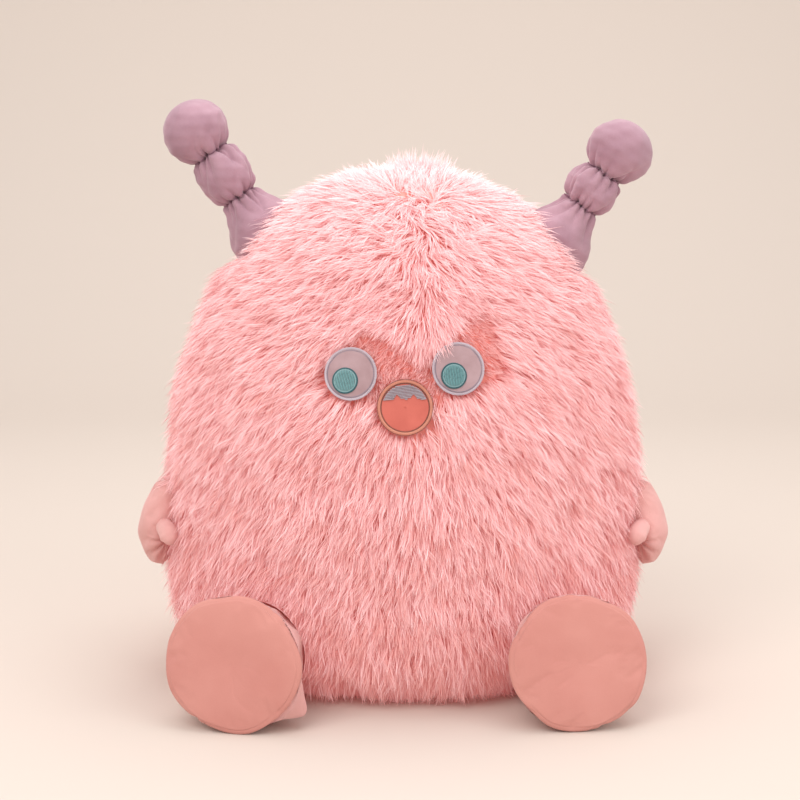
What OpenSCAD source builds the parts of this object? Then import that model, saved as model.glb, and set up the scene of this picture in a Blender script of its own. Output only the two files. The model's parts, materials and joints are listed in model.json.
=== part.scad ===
// Shaggy plush monster toy: an egg-shaped long-pile body with a flat embroidered face, two
// gathered velvet antennae, two mitten arms and two stub legs with flat round soles.
// It sits on the ground plane and faces -Y. "left" and "right" are the toy's own.

/* [Body] */
// Width of the body over the pile
body_w = 420; // [400:5:440]
// Depth of the body over the pile
body_d = 320; // [310:5:340]
// Height of the body over the pile
body_h = 448; // [440:2:456]
// Height of the widest level
waist_z = 138; // [130:2:146]
// Length of the pile, from its backing cloth to the tips
pile_t = 22; // [20:1:25]

/* [Face] */
// Radius of the eye patches over their stitched rims
eye_r = 21.5; // [20:0.5:23]
// Radius of the pupils over their stitched rims
pupil_r = 10.5; // [9:0.5:12]
// Radius of the mouth patch over its stitched rim
mouth_r = 22.6; // [21:0.2:24]
// Height of the mouth's centre
mouth_z = 256; // [250:1:262]
// How much shorter the pile is around the face
face_dip = 8; // [5:1:10]

/* [Antennae] */
// Radius of the ball at each gather
neck_r = 16; // [15:0.5:17]
// Radius of the middle bulb
middle_r = 24; // [22:0.5:26]
// Radius of the tip bulb
tip_r = 28.5; // [27:0.5:30]
// Radius of the flared base
flare_r = 33; // [31:0.5:34]

/* [Arms] */
// Height of the shoulder seam
shoulder_z = 170; // [160:1:180]
// Radius of the palm
palm_r = 16; // [14:0.5:17]

/* [Legs] */
// Radius of the round sole
sole_r = 56; // [52:1:57]
// Length from the hip seam to the sole
leg_l = 70; // [67:1:76]
// How far each leg points upward, in degrees
leg_rise = 10; // [8:1:14]
// How far each leg lifts, in degrees
leg_lift = 12; // [5:1:12]
// How far each leg drops, in degrees
leg_drop = 15; // [5:1:15]

/* [Hidden] */

RIGHT = -1;
LEFT = 1;

pile_color = "#f5a8a4";
velvet_color = "#cda0b4";
limb_color = "#f6b4ac";
sole_color = "#df9186";
fill_color = "#f4f1ec";
eye_color = "#d8ccd8";
rim_color = "#efe8f0";
pupil_color = "#6ebeb6";
pupil_rim_color = "#3c8c8c";
mouth_color = "#e06e5f";
mouth_rim_color = "#dc8c6e";
teeth_color = "#c8c8d2";

cloth_t = 1.4;     // thickness of a cover cloth
gap = 0.4;         // clearance between a cover and its filling
seam_gap = 0.3;    // half the gap between the two halves of the body cover
panel_t = 4;       // thickness of the base panel
belly_n = 4;       // roundness of the body below its widest level
crown_n = 2.2;     // roundness of the body above it
floor_phi = -70;   // level angle at which the pile ends above the base panel
skin_lift = 8;     // height of the backing cloth over the floor, below the belly
rings = 27;
half_turn = 28;    // segments in half a turn round the body

crown_h = body_h - waist_z;

// Each antenna: the place of its lower gather, how far it leans outward, and the length of its
// middle bulb from the lower to the upper gather
antenna_x = [-142, 154.5];
antenna_z = [418.3, 410];
antenna_lean = [34.2, 35.3];
gather_gap = [43, 33.5];
bend_drop = 8.5;   // a segment stops this far below the gather that it carries
bend_start = 5;    // the next segment starts this far above that gather
socket_gap = 0.6;
tie_r = 1.1;       // half the thickness of the wound thread
tie_drop = 5;      // the thread lies this far below the gather's centre
flare_l = 42;      // length of the flared base below the lower gather

eye_x = [-42, 44];
eye_z = [283, 287];
gaze = [-4.1, -5.7];   // both pupils look down and to the toy's right
patch_lift = 2;        // the patches are sewn on over the short pile
rim_thread_r = 1.1;    // half the thickness of a patch's stitched rim
fine_thread_r = 0.8;   // half the thickness of the finer stitching inside it
patch_inset = 2.4;     // the patch's own cloth ends this far inside the rim
fill_inset = 1.8;      // the embroidered fill ends this far inside its finer rim
satin_t = 2;           // thickness of the padded satin of an eye
mouth_t = 1.4;
stitch_t = 1;          // thickness of the embroidered fill
stitch_gap = 0.1;

shoulder = [202, -30];
shoulder_room_r = 18.5;
arm_clear = 1.5;   // clearance between an arm and the pile that it lies in

// Each leg: the place of its hip, and how far it points outward
hip_x = [123, 133];
hip_y = [-119, -114];
hip_z = 43.2;
leg_splay = [12, 7];
hip_ball_r = 40;
leg_clear = 1.2;   // clearance between a leg and the pile over its whole travel
hip_fill_r = 44;   // room that the filling leaves round the hip

function side_of(s) = s > 0 ? 1 : 0;
function roundness(phi) = phi < 0 ? belly_n : crown_n;

// Share of the full width and depth at a level angle, from -90 at the foot to 90 at the crown
function level_share(phi) = pow(cos(phi), 2 / roundness(phi));
function level_z(phi, low, high) =
    waist_z + (phi < 0 ? -low : high) * pow(abs(sin(phi)), 2 / roundness(phi));

// Share of the full width and depth at a height on the upper body
function share_at(z) = pow(1 - pow((z - waist_z) / crown_h, crown_n), 1 / crown_n);
function front_y(x, z) =
    -body_d / 2 * share_at(z) * sqrt(1 - pow(x / (body_w / 2 * share_at(z)), 2));

// The shorter pile round the face is a smooth dip in the front
function dip(x, z) =
    face_dip * exp(-pow(pow(x / 92, 2) + pow((z - 272) / 58, 2), 2));

function phi_at(i) = floor_phi + (90 - floor_phi) * i / rings;

function body_point(phi, az, inset, lift) = let (
    share = level_share(phi),
    x = (body_w / 2 - inset) * share * cos(az),
    y = (body_d / 2 - inset) * share * sin(az),
    z = level_z(phi, waist_z - lift, crown_h - inset)
) [x, y + (y < 0 && inset == 0 ? dip(x, z) : 0), z];

// Half of the body's cover: an outer and an inner grid of points, closed along every edge
module half_cover(start_az) {
    across = half_turn + 1;
    inner_at = (rings + 1) * across;
    points = [
        for (inset = [0, pile_t]) for (i = [0 : rings]) for (j = [0 : half_turn])
            body_point(phi_at(i), start_az + 180 * j / half_turn, inset, inset > 0 ? skin_lift : 0)
    ];
    function at(i, j) = i * across + (i == rings ? 0 : j);
    skins = [
        for (i = [0 : rings - 1]) for (j = [0 : half_turn - 1]) each [
            [at(i, j), at(i + 1, j), at(i, j + 1)],
            if (i < rings - 1) [at(i, j + 1), at(i + 1, j), at(i + 1, j + 1)],
        ]
    ];
    inner_skins = [for (f = skins) [f[0] + inner_at, f[2] + inner_at, f[1] + inner_at]];
    hem = [
        for (j = [0 : half_turn - 1]) each [
            [at(0, j), at(0, j + 1), at(0, j + 1) + inner_at],
            [at(0, j), at(0, j + 1) + inner_at, at(0, j) + inner_at],
        ]
    ];
    seams = [
        for (i = [0 : rings - 1]) each [
            [at(i, 0), at(i + 1, 0) + inner_at, at(i + 1, 0)],
            [at(i, 0), at(i, 0) + inner_at, at(i + 1, 0) + inner_at],
            [at(i, half_turn), at(i + 1, half_turn), at(i + 1, half_turn) + inner_at],
            [at(i, half_turn), at(i + 1, half_turn) + inner_at, at(i, half_turn) + inner_at],
        ]
    ];
    polyhedron(points, concat(skins, inner_skins, hem, seams));
}

// The pile lies open wherever a leg passes between its lowest and its highest place
module leg_rooms() {
    for (s = [RIGHT, LEFT])
        at_hip(s)
            hull() {
                sphere(r = hip_ball_r + leg_clear, $fn = 32);
                for (turn = [-leg_lift - 0.5, leg_drop + 0.5])
                    rotate([turn, 0, 0])
                        translate([0, 0, leg_l]) cylinder(r = sole_r + leg_clear, h = 1, $fn = 48);
            }
}

// The arms press a groove into the pile
module arm_rooms() {
    for (s = [RIGHT, LEFT]) {
        translate([s * shoulder.x, shoulder.y, shoulder_z])
            sphere(r = shoulder_room_r, $fn = 48);
        mitten(s, -arm_clear);
        thumb(s, -arm_clear);
    }
}

module antenna_rooms() {
    for (s = [RIGHT, LEFT])
        at_lower_gather(s)
            translate([0, 0, -flare_l - 1]) cylinder(r = flare_r + 1, h = flare_l + 1, $fn = 64);
}

module body_front_cover() {
    color(pile_color)
        difference() {
            translate([0, -seam_gap, 0]) half_cover(180);
            leg_rooms();
            arm_rooms();
            antenna_rooms();
        }
}

module body_back_cover() {
    color(pile_color)
        difference() {
            translate([0, seam_gap, 0]) half_cover(0);
            arm_rooms();
            antenna_rooms();
        }
}

module body_base_panel() {
    share = level_share(floor_phi);
    color(pile_color)
        linear_extrude(panel_t)
            polygon([
                for (az = [0 : 180 / half_turn : 359])
                    [(body_w / 2 * share - 2) * cos(az), (body_d / 2 * share - 2) * sin(az)]
            ]);
}

module body_stuffing() {
    around = 2 * half_turn;
    inset = pile_t + gap;
    foot_share = level_share(floor_phi);
    foot = [
        for (j = [0 : around - 1]) let (az = 180 * j / half_turn)
            [
                (body_w / 2 - inset) * foot_share * cos(az),
                (body_d / 2 - inset) * foot_share * sin(az),
                panel_t + gap,
            ]
    ];
    walls = [
        for (i = [0 : rings - 1]) for (j = [0 : around - 1])
            body_point(phi_at(i), 180 * j / half_turn, inset, skin_lift + gap)
    ];
    points = concat(foot, walls, [[0, 0, body_h - inset]]);
    crown_at = len(points) - 1;
    function at(i, j) = i * around + j % around;
    sides = [
        for (i = [0 : rings - 1]) for (j = [0 : around - 1]) each [
            [at(i, j), at(i + 1, j), at(i, j + 1)],
            [at(i, j + 1), at(i + 1, j), at(i + 1, j + 1)],
        ]
    ];
    crown = [for (j = [0 : around - 1]) [at(rings, j), crown_at, at(rings, j + 1)]];
    color(fill_color)
        difference() {
            polyhedron(points, concat(sides, crown, [[for (j = [0 : around - 1]) j]]));
            for (s = [RIGHT, LEFT]) at_hip(s) sphere(r = hip_fill_r, $fn = 48);
        }
}

// Stands a flat patch on the face, square to the surface there
module on_face(x, z) {
    y = front_y(x, z) + dip(x, z);
    half_w = body_w / 2 * share_at(z);
    half_d = body_d / 2 * share_at(z);
    yaw = atan2(x / pow(half_w, 2), -y / pow(half_d, 2));
    pitch = atan((front_y(x, z + 1) - front_y(x, z - 1)) / 2);
    translate([x, y, z])
        rotate([90 - pitch, 0, yaw])
            translate([0, 0, patch_lift])
                children();
}

module thread_ring(radius, thread_r) {
    rotate_extrude($fn = 96) translate([radius - thread_r, 0]) circle(r = thread_r, $fn = 24);
}

module eye_white(s) {
    i = side_of(s);
    color(eye_color)
        on_face(eye_x[i], eye_z[i]) cylinder(r = eye_r - patch_inset, h = satin_t, $fn = 96);
}

module eye_rim(s) {
    i = side_of(s);
    color(rim_color)
        on_face(eye_x[i], eye_z[i])
            translate([0, 0, rim_thread_r])
                thread_ring(eye_r, rim_thread_r);
}

module eye_pupil(s) {
    i = side_of(s);
    color(pupil_color)
        on_face(eye_x[i], eye_z[i])
            translate([gaze.x, gaze.y, satin_t + stitch_gap])
                cylinder(r = pupil_r - fill_inset, h = stitch_t, $fn = 64);
}

module eye_pupil_rim(s) {
    i = side_of(s);
    color(pupil_rim_color)
        on_face(eye_x[i], eye_z[i])
            translate([gaze.x, gaze.y, satin_t + stitch_gap + fine_thread_r])
                thread_ring(pupil_r, fine_thread_r);
}

module mouth_patch() {
    color(mouth_color)
        on_face(0, mouth_z) cylinder(r = mouth_r - patch_inset, h = mouth_t, $fn = 96);
}

module mouth_rim_outer() {
    color(mouth_rim_color)
        on_face(0, mouth_z)
            translate([0, 0, rim_thread_r])
                thread_ring(mouth_r, rim_thread_r);
}

module mouth_rim_inner() {
    color(mouth_rim_color)
        on_face(0, mouth_z)
            translate([0, 0, mouth_t + stitch_gap + fine_thread_r])
                thread_ring(mouth_r - patch_inset, fine_thread_r);
}

module mouth_teeth() {
    color(teeth_color)
        on_face(0, mouth_z)
            translate([0, 0, mouth_t + stitch_gap])
                linear_extrude(stitch_t)
                    intersection() {
                        circle(r = mouth_r - patch_inset - fill_inset, $fn = 96);
                        polygon([
                            [-20, 7.5], [-8.5, 7.8], [-6.2, 11.4], [-3.4, 8], [0.4, 7.2],
                            [4.4, 8.2], [7.2, 11.4], [9.6, 8.6], [20, 8.6], [20, 22], [-20, 22],
                        ]);
                    }
}

module at_lower_gather(s) {
    i = side_of(s);
    translate([antenna_x[i], 0, antenna_z[i]])
        rotate([0, s * antenna_lean[i], 0])
            children();
}

module at_upper_gather(s) {
    at_lower_gather(s) translate([0, 0, gather_gap[side_of(s)]]) children();
}

// Radius of the cloth where a bulb leaves its neck
neck_edge_r = sqrt(pow(neck_r, 2) - pow(bend_start, 2));
rim_r = neck_r + 2;

function swell(t) = pow(sin(90 * t), 0.7);
function rise_r(h, peak_h, peak_r) =
    neck_edge_r + (peak_r - neck_edge_r) * swell((h - bend_start) / (peak_h - bend_start));

function middle_outline(inset, length) = let (peak_h = length / 2) [
    for (t = [0 : 0.1 : 0.9])
        let (h = bend_start + (peak_h - bend_start) * t)
            [rise_r(h, peak_h, middle_r) - inset, h],
    for (t = [0 : 0.125 : 1])
        [
            rim_r + (middle_r - rim_r) * cos(90 * t) - inset,
            peak_h + (length - bend_drop - inset - peak_h) * t,
        ],
];

tip_peak_h = 21;
function tip_outline(inset) = [
    for (h = [bend_start : 1.6 : tip_peak_h]) [rise_r(h, tip_peak_h, tip_r) - inset, h],
    for (a = [0 : 7.5 : 90])
        [(tip_r - inset) * cos(a), tip_peak_h + (tip_r - inset) * sin(a)],
];

function flare_outline(inset) = [
    for (t = [0 : 0.125 : 1])
        [
            flare_r - (flare_r - rim_r) * sin(90 * t) - inset,
            -flare_l + inset + (flare_l - bend_drop - 2 * inset) * t,
        ],
];

module turned(outline, low_h, high_h) {
    rotate_extrude($fn = 72) polygon(concat([[0, low_h]], outline, [[0, high_h]]));
}

module middle_blank(inset, length) {
    sphere(r = neck_r - inset, $fn = 72);
    turned(middle_outline(inset, length), bend_start, length - bend_drop - inset);
}

module tip_blank(inset) {
    sphere(r = neck_r - inset, $fn = 72);
    turned(tip_outline(inset), bend_start, tip_peak_h + tip_r - inset);
}

module socket(room) {
    sphere(r = neck_r + socket_gap + room, $fn = 72);
}

module antenna_base_cover(s) {
    color(velvet_color)
        at_lower_gather(s)
            difference() {
                turned(flare_outline(0), -flare_l, -bend_drop);
                difference() {
                    turned(flare_outline(cloth_t), cloth_t - flare_l, -bend_drop - cloth_t);
                    socket(cloth_t);
                }
                socket(0);
            }
}

module antenna_base_stuffing(s) {
    inset = cloth_t + gap;
    color(fill_color)
        at_lower_gather(s)
            difference() {
                turned(flare_outline(inset), inset - flare_l, -bend_drop - inset);
                socket(inset);
            }
}

module tie() {
    color(velvet_color)
        translate([0, 0, -tie_drop]) thread_ring(neck_r + socket_gap + 0.2 + 2 * tie_r, tie_r);
}

module antenna_lower_tie(s) {
    at_lower_gather(s) tie();
}

module antenna_upper_tie(s) {
    at_upper_gather(s) tie();
}

module antenna_middle_cover(s) {
    length = gather_gap[side_of(s)];
    color(velvet_color)
        at_lower_gather(s)
            difference() {
                middle_blank(0, length);
                difference() {
                    middle_blank(cloth_t, length);
                    translate([0, 0, length]) socket(cloth_t);
                }
                translate([0, 0, length]) socket(0);
            }
}

module antenna_middle_stuffing(s) {
    inset = cloth_t + gap;
    length = gather_gap[side_of(s)];
    color(fill_color)
        at_lower_gather(s)
            difference() {
                middle_blank(inset, length);
                translate([0, 0, length]) socket(inset);
            }
}

module antenna_tip_cover(s) {
    color(velvet_color)
        at_upper_gather(s)
            difference() {
                tip_blank(0);
                tip_blank(cloth_t);
            }
}

module antenna_tip_stuffing(s) {
    color(fill_color) at_upper_gather(s) tip_blank(cloth_t + gap);
}

// The mitten hangs from the shoulder along the side of the body
module mitten(s, inset) {
    joints = [
        [shoulder.x, shoulder.y, shoulder_z, palm_r - 4],
        [211, -28, shoulder_z - 25, palm_r - 2],
        [213, -34, shoulder_z - 43, palm_r],
        [213, -16, shoulder_z - 45, palm_r - 1],
        [212, -26, shoulder_z - 63, palm_r - 5],
    ];
    hull()
        for (j = joints)
            translate([s * j[0], j[1], j[2]]) sphere(r = j[3] - inset, $fn = 24);
}

module thumb(s, inset) {
    hull() {
        translate([s * 202, -62, shoulder_z - 34]) sphere(r = 8 - inset, $fn = 24);
        translate([s * 201, -60, shoulder_z - 42]) sphere(r = 9 - inset, $fn = 24);
    }
}

module arm_cover(s) {
    color(limb_color)
        difference() {
            mitten(s, 0);
            mitten(s, cloth_t);
        }
}

module arm_stuffing(s) {
    color(fill_color) mitten(s, cloth_t + gap);
}

module arm_thumb(s) {
    color(limb_color) thumb(s, 0);
}

module at_hip(s) {
    i = side_of(s);
    translate([s * hip_x[i], hip_y[i], hip_z])
        rotate([90 - leg_rise, 0, s * leg_splay[i]])
            children();
}

module leg_blank(inset, length) {
    sphere(r = hip_ball_r - inset, $fn = 96);
    rotate_extrude($fn = 96)
        polygon([
            [0, 0],
            [hip_ball_r - inset, 0],
            [sole_r - 2 - inset, length],
            [0, length],
        ]);
}

sole_t = 4;
module leg_cover(s) {
    color(limb_color)
        at_hip(s)
            difference() {
                leg_blank(0, leg_l - sole_t);
                leg_blank(cloth_t, leg_l - sole_t + 1);
            }
}

module leg_sole(s) {
    color(sole_color)
        at_hip(s)
            translate([0, 0, leg_l - sole_t + 0.2])
                rotate_extrude($fn = 96)
                    polygon([
                        [0, 0],
                        [sole_r - 2, 0],
                        [sole_r, 1.4],
                        [sole_r - 1, 3],
                        [sole_r - 6, sole_t],
                        [0, sole_t + 1],
                    ]);
}

module leg_stuffing(s) {
    color(fill_color) at_hip(s) leg_blank(cloth_t + gap, leg_l - sole_t - gap);
}

body_front_cover();
body_back_cover();
body_base_panel();
body_stuffing();
eye_white(RIGHT);  // eye_right_white
eye_rim(RIGHT);  // eye_right_rim
eye_pupil(RIGHT);  // eye_right_pupil
eye_pupil_rim(RIGHT);  // eye_right_pupil_rim
eye_white(LEFT);  // eye_left_white
eye_rim(LEFT);  // eye_left_rim
eye_pupil(LEFT);  // eye_left_pupil
eye_pupil_rim(LEFT);  // eye_left_pupil_rim
mouth_patch();
mouth_rim_outer();
mouth_rim_inner();
mouth_teeth();
antenna_base_cover(RIGHT);  // antenna_right_base_cover
antenna_base_stuffing(RIGHT);  // antenna_right_base_stuffing
antenna_lower_tie(RIGHT);  // antenna_right_lower_tie
antenna_middle_cover(RIGHT);  // antenna_right_middle_cover
antenna_middle_stuffing(RIGHT);  // antenna_right_middle_stuffing
antenna_upper_tie(RIGHT);  // antenna_right_upper_tie
antenna_tip_cover(RIGHT);  // antenna_right_tip_cover
antenna_tip_stuffing(RIGHT);  // antenna_right_tip_stuffing
antenna_base_cover(LEFT);  // antenna_left_base_cover
antenna_base_stuffing(LEFT);  // antenna_left_base_stuffing
antenna_lower_tie(LEFT);  // antenna_left_lower_tie
antenna_middle_cover(LEFT);  // antenna_left_middle_cover
antenna_middle_stuffing(LEFT);  // antenna_left_middle_stuffing
antenna_upper_tie(LEFT);  // antenna_left_upper_tie
antenna_tip_cover(LEFT);  // antenna_left_tip_cover
antenna_tip_stuffing(LEFT);  // antenna_left_tip_stuffing
arm_cover(RIGHT);  // arm_right_cover
arm_stuffing(RIGHT);  // arm_right_stuffing
arm_thumb(RIGHT);  // arm_right_thumb
arm_cover(LEFT);  // arm_left_cover
arm_stuffing(LEFT);  // arm_left_stuffing
arm_thumb(LEFT);  // arm_left_thumb
leg_cover(RIGHT);  // leg_right_cover
leg_sole(RIGHT);  // leg_right_sole
leg_stuffing(RIGHT);  // leg_right_stuffing
leg_cover(LEFT);  // leg_left_cover
leg_sole(LEFT);  // leg_left_sole
leg_stuffing(LEFT);  // leg_left_stuffing
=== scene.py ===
import json
import math
from collections import namedtuple

import bpy
import numpy as np
from mathutils import Matrix, Vector


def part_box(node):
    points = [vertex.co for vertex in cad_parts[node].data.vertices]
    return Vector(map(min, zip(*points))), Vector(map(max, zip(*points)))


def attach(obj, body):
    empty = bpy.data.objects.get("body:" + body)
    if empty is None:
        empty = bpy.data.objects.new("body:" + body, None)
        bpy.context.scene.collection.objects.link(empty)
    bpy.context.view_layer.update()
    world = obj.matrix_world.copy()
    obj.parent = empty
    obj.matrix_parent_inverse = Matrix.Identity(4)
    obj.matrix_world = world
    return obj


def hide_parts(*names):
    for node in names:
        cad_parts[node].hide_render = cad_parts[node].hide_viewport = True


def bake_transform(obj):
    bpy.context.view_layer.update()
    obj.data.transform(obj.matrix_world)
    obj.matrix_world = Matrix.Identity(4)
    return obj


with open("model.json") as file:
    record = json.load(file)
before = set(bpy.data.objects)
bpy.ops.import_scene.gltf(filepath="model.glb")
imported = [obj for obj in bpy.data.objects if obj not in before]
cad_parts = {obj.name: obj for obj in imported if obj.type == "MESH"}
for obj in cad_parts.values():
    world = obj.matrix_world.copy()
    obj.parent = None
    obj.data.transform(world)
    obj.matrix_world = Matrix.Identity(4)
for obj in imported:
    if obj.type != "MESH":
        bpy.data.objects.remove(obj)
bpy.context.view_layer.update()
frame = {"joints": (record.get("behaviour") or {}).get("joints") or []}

SIDES = {"right": -1, "left": 1}
MM = 0.001


# ---- camera, light and floor

CAMERA_DISTANCE = 1.655
CAMERA_PITCH = math.radians(10)
CAMERA_LENS = 84.4
CAMERA_TARGET = Vector((-0.0026, 0, 0.238))
LIT_POINT = (0, 0, 0.2)


def look_at(obj, target):
    obj.rotation_euler = (Vector(target) - obj.location).to_track_quat("-Z", "Y").to_euler()


def make_camera():
    camera = add_object("camera", bpy.data.cameras.new("camera"))
    camera.data.lens = CAMERA_LENS
    camera.data.sensor_width = 36
    back = Vector((0, -math.cos(CAMERA_PITCH), math.sin(CAMERA_PITCH)))
    camera.location = CAMERA_TARGET + CAMERA_DISTANCE * back
    look_at(camera, CAMERA_TARGET)
    bpy.context.scene.camera = camera


def make_light(name, place, size, power, colour):
    light = bpy.data.lights.new(name, "AREA")
    light.shape = "DISK"
    light.size = size
    light.energy = power
    light.color = colour
    lamp = add_object(name, light)
    lamp.location = place
    look_at(lamp, LIT_POINT)


def make_studio():
    make_light("key_light", (-0.9, -1.5, 1.9), 1.6, 26, (1.0, 0.98, 0.96))
    make_light("fill_light", (1.6, -1.3, 1.1), 1.8, 14, (1.0, 0.98, 0.97))
    make_light("top_light", (0.1, 0.35, 2.0), 1.8, 22, (0.98, 0.99, 1.0))
    world = bpy.data.worlds.new("studio")
    world.use_nodes = True
    background = world.node_tree.nodes["Background"]
    background.inputs["Color"].default_value = (1.0, 0.975, 0.96, 1)
    background.inputs["Strength"].default_value = 0.80
    bpy.context.scene.world = world
    bpy.context.scene.view_settings.view_transform = "Standard"


def make_floor():
    """A pale sweep: a flat floor that turns up into a wall well behind the toy."""
    half_w, front, bend, radius, top = 4.0, -3.0, 1.2, 0.9, 4.0
    outline = [(front, 0), (bend, 0)]
    for k in range(1, 13):
        a = math.pi / 2 * k / 12
        outline.append((bend + radius * math.sin(a), radius * (1 - math.cos(a))))
    outline.append((bend + radius, top))
    verts = [(x, y, z) for y, z in outline for x in (-half_w, half_w)]
    faces = [(2 * i, 2 * i + 1, 2 * i + 3, 2 * i + 2) for i in range(len(outline) - 1)]
    floor = new_object("floor", verts, faces)
    floor.data.materials.append(plain_material("floor", (0.66, 0.58, 0.52), 0.9))


# ---- mesh helpers


def add_object(name, data):
    obj = bpy.data.objects.new(name, data)
    bpy.context.scene.collection.objects.link(obj)
    return obj


def new_object(name, verts, faces, outward=False):
    mesh = bpy.data.meshes.new(name)
    mesh.from_pydata([tuple(v) for v in verts], [], faces)
    mesh.validate()
    mesh.polygons.foreach_set("use_smooth", [True] * len(mesh.polygons))
    mesh.update()
    if outward:
        turn_outward(mesh)
    return add_object(name, mesh)


def dress(obj, material, body, nodes=()):
    """Gives a piece its material and body, and hides the nodes it stands for."""
    obj.data.materials.append(material)
    if body:
        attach(obj, body)
    if nodes:
        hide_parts(*nodes)


def grid_object(name, grid, outward=False):
    """A piece whose faces join the rows of a grid of points, closed across its columns."""
    rows, columns = grid.shape[:2]
    return new_object(name, grid.reshape(-1, 3), grid_faces(rows, columns), outward)


def read_all(items, key, width):
    values = np.empty(len(items) * width)
    items.foreach_get(key, values)
    return values.reshape(-1, width)


def turn_outward(mesh):
    """Flips a mesh whose faces look inward, as those of a mirrored grid do."""
    places = read_all(mesh.polygons, "center", 3)
    away = np.sum((places - places.mean(0)) * read_all(mesh.polygons, "normal", 3), 1)
    if np.sum(away * read_all(mesh.polygons, "area", 1)[:, 0]) < 0:
        mesh.flip_normals()


def grid_faces(rows, columns, closed=True):
    """Quads between the rows of a grid of points; closed joins the last column to the first."""
    last = columns if closed else columns - 1
    return [
        (i * columns + j, i * columns + (j + 1) % columns,
         (i + 1) * columns + (j + 1) % columns, (i + 1) * columns + j)
        for i in range(rows - 1) for j in range(last)
    ]


def full_turn(count):
    """Even angles once round a circle."""
    return np.arange(count) * 2 * math.pi / count


def unit(v):
    return v / np.maximum(np.linalg.norm(v, axis=-1, keepdims=True), 1e-9)


def apply_modifiers(obj):
    evaluated = obj.evaluated_get(bpy.context.evaluated_depsgraph_get())
    mesh = bpy.data.meshes.new_from_object(evaluated)
    obj.modifiers.clear()
    old = obj.data
    obj.data = mesh
    mesh.name = old.name
    bpy.data.meshes.remove(old)


def subdivide(obj):
    modifier = obj.modifiers.new("subdivision", "SUBSURF")
    modifier.levels = 1
    modifier.render_levels = 1
    apply_modifiers(obj)


CLOTH_FRAMES = 20
CLOTH_STIFFNESS = 15


def inflate(obj, pressure, cap, pinned, grow):
    """Lets the cloth of a closed shape swell as a filled cover does, by at most cap metres."""
    before = read_all(obj.data.vertices, "co", 3)
    settings = obj.modifiers.new("cloth", "CLOTH").settings
    settings.quality = 6
    settings.mass = 0.2
    settings.tension_stiffness = CLOTH_STIFFNESS
    settings.compression_stiffness = CLOTH_STIFFNESS
    settings.shear_stiffness = 5
    settings.bending_stiffness = 0.3
    settings.use_pressure = True
    settings.uniform_pressure_force = pressure
    settings.shrink_min = -grow
    settings.effector_weights.gravity = 0
    group = obj.vertex_groups.new(name="pinned")
    group.add([int(i) for i in pinned], 1.0, "REPLACE")
    settings.vertex_group_mass = "pinned"
    scene = bpy.context.scene
    for f in range(1, CLOTH_FRAMES + 1):
        scene.frame_set(f)
    evaluated = obj.evaluated_get(bpy.context.evaluated_depsgraph_get())
    move = read_all(evaluated.data.vertices, "co", 3) - before
    obj.modifiers.clear()
    obj.vertex_groups.clear()
    scene.frame_set(1)
    length = np.linalg.norm(move, axis=1, keepdims=True)
    after = before + move * np.minimum(1, cap / np.maximum(length, 1e-9))
    obj.data.vertices.foreach_set("co", after.astype(np.float32).ravel())
    obj.data.update()


# ---- materials


def feed(tree, node, inputs):
    """Sets a node's inputs, each to a value or to the output that feeds it."""
    for key, value in inputs.items():
        if isinstance(value, bpy.types.NodeSocket):
            tree.links.new(value, node.inputs[key])
        else:
            node.inputs[key].default_value = value


def add_node(tree, kind, inputs):
    node = tree.nodes.new(f"ShaderNode{kind}")
    feed(tree, node, inputs)
    return node


def plain_material(name, colour, roughness):
    material = bpy.data.materials.new(name)
    material.use_nodes = True
    feed(material.node_tree, material.node_tree.nodes["Principled BSDF"],
         {"Base Color": (*colour, 1), "Roughness": roughness, "Specular IOR Level": 0.25})
    return material


def srgb(r, g, b):
    """A colour as the eye names it, 0 to 255, as linear light."""
    def linear(c):
        c /= 255
        return c / 12.92 if c <= 0.04045 else ((c + 0.055) / 1.055) ** 2.4
    return (linear(r), linear(g), linear(b))


def ramp_colour(tree, factor, stops):
    """The colour that a ramp gives for a factor; each stop is a position and a colour."""
    ramp = add_node(tree, "ValToRGB", {"Fac": factor})
    elements = ramp.color_ramp.elements
    while len(elements) < len(stops):
        elements.new(0.5)
    for element, (position, colour) in zip(elements, stops):
        element.position = position
        element.color = (*colour, 1)
    return ramp.outputs["Color"]


def fabric_material(name, light, dark, grain, grain_depth, patch=18, roughness=0.85,
                    sheen=0.3, sheen_tint=(1, 1, 1), weave=False):
    """Cloth with slow colour changes, a fine pile or weave in its relief, and a soft sheen."""
    light, dark = srgb(*light), srgb(*dark)
    material = plain_material(name, light, roughness)
    tree = material.node_tree
    place = tree.nodes.new("ShaderNodeTexCoord").outputs["Object"]
    slow = add_node(tree, "TexNoise", {"Vector": place, "Scale": patch, "Detail": 3})
    fine = add_node(tree, "TexNoise", {"Vector": place, "Scale": grain, "Detail": 2})
    both = tree.nodes.new("ShaderNodeMath")
    both.operation = "MULTIPLY_ADD"
    feed(tree, both, {0: fine.outputs["Fac"], 1: 0.35, 2: slow.outputs["Fac"]})
    height = fine
    if weave:
        height = add_node(tree, "TexWave", {"Vector": place, "Scale": grain / 4,
                                            "Distortion": 1.5})
        height.bands_direction = "DIAGONAL"
    relief = add_node(tree, "Bump", {"Strength": 0.5, "Distance": grain_depth,
                                     "Height": height.outputs["Fac"]})
    feed(tree, tree.nodes["Principled BSDF"], {
        "Sheen Weight": sheen, "Sheen Roughness": 0.5, "Sheen Tint": (*sheen_tint, 1),
        "Base Color": ramp_colour(tree, both.outputs[0], [(0.38, dark), (0.86, light)]),
        "Normal": relief.outputs["Normal"],
    })
    return material


PILE_GLOW = 0.11        # light that scatters through the thin fibres, which the shader leaves out


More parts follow.
